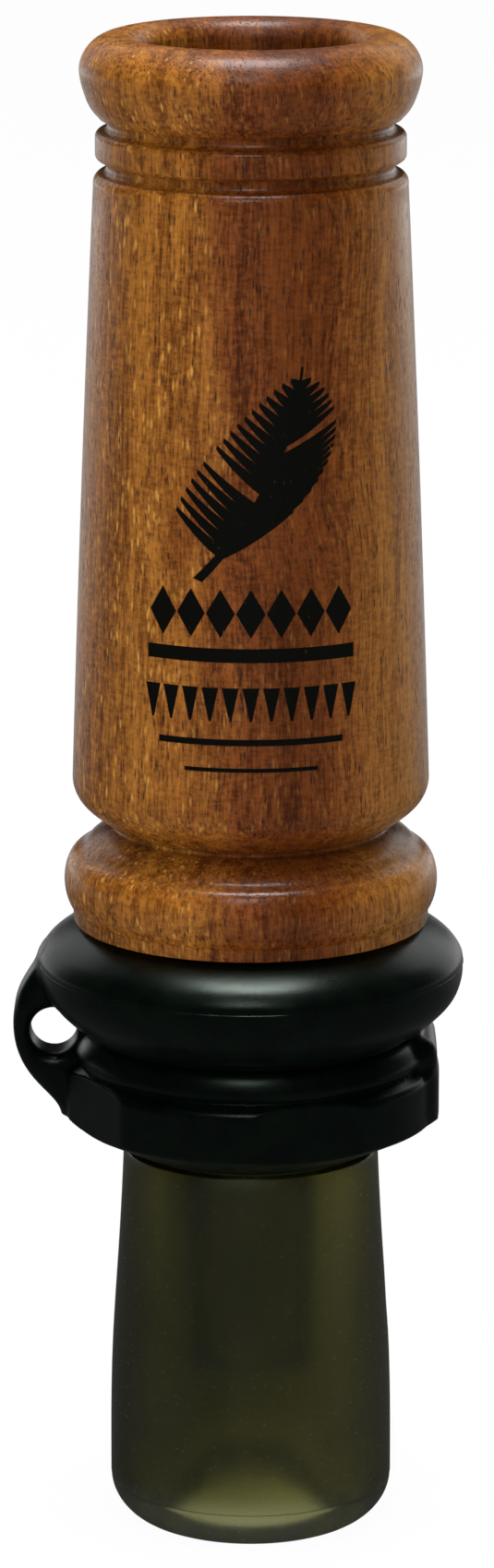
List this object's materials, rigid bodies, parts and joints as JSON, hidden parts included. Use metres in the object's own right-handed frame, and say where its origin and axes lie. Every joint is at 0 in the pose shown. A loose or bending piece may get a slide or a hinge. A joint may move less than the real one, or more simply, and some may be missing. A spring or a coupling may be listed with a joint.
{
  "type": "game call",
  "caption": "Blown tube game call: turned hardwood barrel, black collar with lanyard lug, smoke plastic mouthpiece and an inner reed unit.",
  "frame": {"origin": "centre of the mouthpiece's lip, in the plane of its rim", "axes": "+Z along the call's axis from the blown end to the open end of the barrel, +X away from the lanyard lug, -Y the front"},
  "size_m": [0.0398, 0.0376, 0.133],
  "materials": {
    "barrel_wood": "semi-gloss lacquer over open-pored reddish hardwood",
    "collar_plastic": "fine satin moulded",
    "mouthpiece_plastic": "smoke-tinted translucent gloss",
    "seal_rubber": "matte",
    "reed_base_plastic": "satin moulded",
    "reed_film": "clear satin film",
    "wedge_cork": "raw cork"
  },
  "bodies": {
    "collar": {"collar": "collar_plastic"},
    "barrel_seals": {"barrel_seal_upper": "seal_rubber", "barrel_seal_lower": "seal_rubber"},
    "barrel": {"barrel": "barrel_wood"},
    "mouthpiece_seals": {"mouthpiece_seal_upper": "seal_rubber", "mouthpiece_seal_lower": "seal_rubber"},
    "mouthpiece": {"mouthpiece": "mouthpiece_plastic"},
    "reed_unit": {"reed_base": "reed_base_plastic", "reed_base_seal": "seal_rubber", "reed_root": "reed_film", "reed_wedge": "wedge_cork", "reed_band": "seal_rubber"},
    "reed_tongue": {"reed_tongue": "reed_film"}
  },
  "joints": [
    {"name": "barrel_twist", "type": "hinge", "parent": "collar", "child": "barrel_seals", "pos_m": [0, 0, 0.06], "axis": [0, 0, 1], "continuous": true},
    {"name": "barrel_pull", "type": "slide", "parent": "barrel_seals", "child": "barrel", "axis": [0, 0, 1], "range_m": [0, 0.03]},
    {"name": "mouthpiece_pull", "type": "slide", "parent": "collar", "child": "mouthpiece_seals", "axis": [0, 0, -1], "range_m": [0, 0.036]},
    {"name": "mouthpiece_twist", "type": "hinge", "parent": "mouthpiece_seals", "child": "mouthpiece", "pos_m": [0, 0, 0.04], "axis": [0, 0, 1], "continuous": true},
    {"name": "reed_unit_pull", "type": "slide", "parent": "collar", "child": "reed_unit", "axis": [0, 0, 1], "range_m": [0, 0.056]},
    {"name": "reed_flex", "type": "hinge", "parent": "reed_unit", "child": "reed_tongue", "pos_m": [0, 0.00038, 0.0299], "axis": [1, 0, 0], "range_deg": [-3, 3.4], "stiffness_Nm_per_rad": 0.01}
  ]
}
